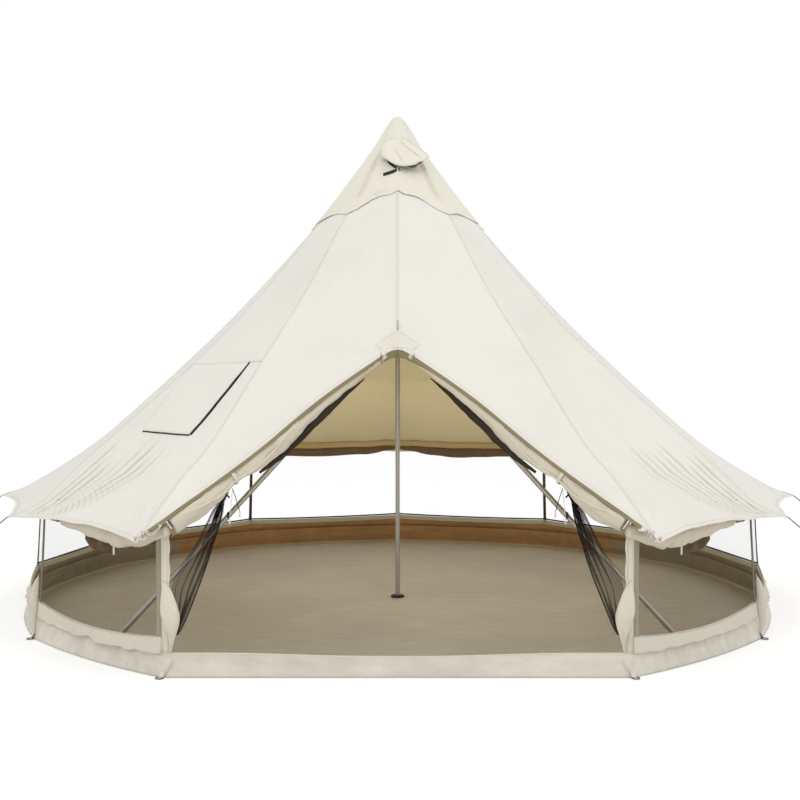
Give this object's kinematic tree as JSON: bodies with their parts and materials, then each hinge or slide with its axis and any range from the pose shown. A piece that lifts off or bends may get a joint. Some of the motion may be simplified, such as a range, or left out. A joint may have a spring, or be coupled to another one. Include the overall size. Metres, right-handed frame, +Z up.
{
  "type": "canvas bell tent",
  "caption": "Round canvas bell tent on a centre pole with an A-frame door, rolled-up walls over net sides, a sewn-in groundsheet, a stove flap and an apex vent.",
  "frame": {"origin": "on the ground under the centre pole, at the groundsheet's underside", "axes": "+Z up along the pole, the door faces -Y, +X to the right seen from in front of the door"},
  "size_m": [5.188, 4.6273, 3],
  "materials": {
    "canvas": "matte cream cotton canvas",
    "rolled_canvas": "matte canvas in the shade, rolled up",
    "net": "dark fine mesh",
    "net_wall": "dark fine mesh with canvas borders",
    "groundsheet": "woven sheet, satin",
    "heat_cloth": "coated glass cloth",
    "webbing": "black webbing and cord",
    "black_plastic": "moulded",
    "black_rubber": "moulded",
    "tube": "galvanised tube"
  },
  "bodies": {
    "tent": {"roof_panel_01": "canvas", "roof_panel_02": "canvas", "roof_panel_03": "canvas", "roof_panel_04": "canvas", "roof_panel_05": "canvas", "roof_panel_06": "canvas", "roof_panel_07": "canvas", "roof_panel_08": "canvas", "roof_panel_09": "canvas", "roof_panel_10": "canvas", "roof_panel_11": "canvas", "roof_panel_12": "canvas", "apex_cap": "canvas", "vent_net": "net", "stove_jack": "heat_cloth", "mesh_wall_02": "net_wall", "mesh_wall_03": "net_wall", "mesh_wall_04": "net_wall", "mesh_wall_05": "net_wall", "mesh_wall_06": "net_wall", "mesh_wall_07": "net_wall", "mesh_wall_08": "net_wall", "mesh_wall_09": "net_wall", "mesh_wall_10": "net_wall", "mesh_wall_11": "net_wall", "wall_roll_02": "rolled_canvas", "wall_roll_03": "rolled_canvas", "wall_roll_04": "rolled_canvas", "wall_roll_05": "rolled_canvas", "wall_roll_06": "rolled_canvas", "wall_roll_07": "rolled_canvas", "wall_roll_08": "rolled_canvas", "wall_roll_09": "rolled_canvas", "wall_roll_10": "rolled_canvas", "wall_roll_11": "rolled_canvas", "groundsheet": "groundsheet", "door_roll_left": "rolled_canvas", "door_roll_right": "rolled_canvas", "pole_lower": "tube", "pole_middle": "tube", "pole_upper": "tube", "pole_foot": "black_plastic", "pole_top": "black_plastic", "frame_elbow": "tube", "frame_leg_lower_left": "tube", "frame_leg_lower_right": "tube", "frame_leg_upper_left": "tube", "frame_leg_upper_right": "tube", "frame_foot_left": "black_rubber", "frame_foot_right": "black_rubber", "guy_rope_left_corner": "webbing", "guy_rope_left_side": "webbing", "guy_rope_right_corner": "webbing", "guy_rope_right_side": "webbing"},
    "stove_flap": {"stove_flap": "canvas"},
    "vent_hood": {"vent_hood": "canvas"},
    "vent_strut": {"vent_strut": "webbing"},
    "door_net_left": {"door_net_left": "net"},
    "door_net_right": {"door_net_right": "net"}
  },
  "joints": [
    {"name": "stove_flap_hinge", "type": "hinge", "parent": "tent", "child": "stove_flap", "pos_m": [-1.019, -0.94659, 1.47698], "axis": [-0.642, 0.7641, -0.0639], "range_deg": [0, 140]},
    {"name": "vent_hood_hinge", "type": "hinge", "parent": "tent", "child": "vent_hood", "pos_m": [0, -0.15931, 2.84452], "axis": [-1, 0, 0], "range_deg": [0, 40]},
    {"name": "vent_strut_fold", "type": "hinge", "parent": "vent_hood", "child": "vent_strut", "pos_m": [0, -0.3697, 2.71317], "axis": [1, 0, 0], "range_deg": [0, 55]},
    {"name": "door_net_left_swing", "type": "hinge", "parent": "tent", "child": "door_net_left", "pos_m": [-0.84168, -1.91477, 0.86417], "axis": [0.3543, 0.085, 0.9312], "range_deg": [-30, 30]},
    {"name": "door_net_right_swing", "type": "hinge", "parent": "tent", "child": "door_net_right", "pos_m": [0.84168, -1.91477, 0.86417], "axis": [0.3543, -0.085, -0.9312], "range_deg": [-30, 30]}
  ]
}
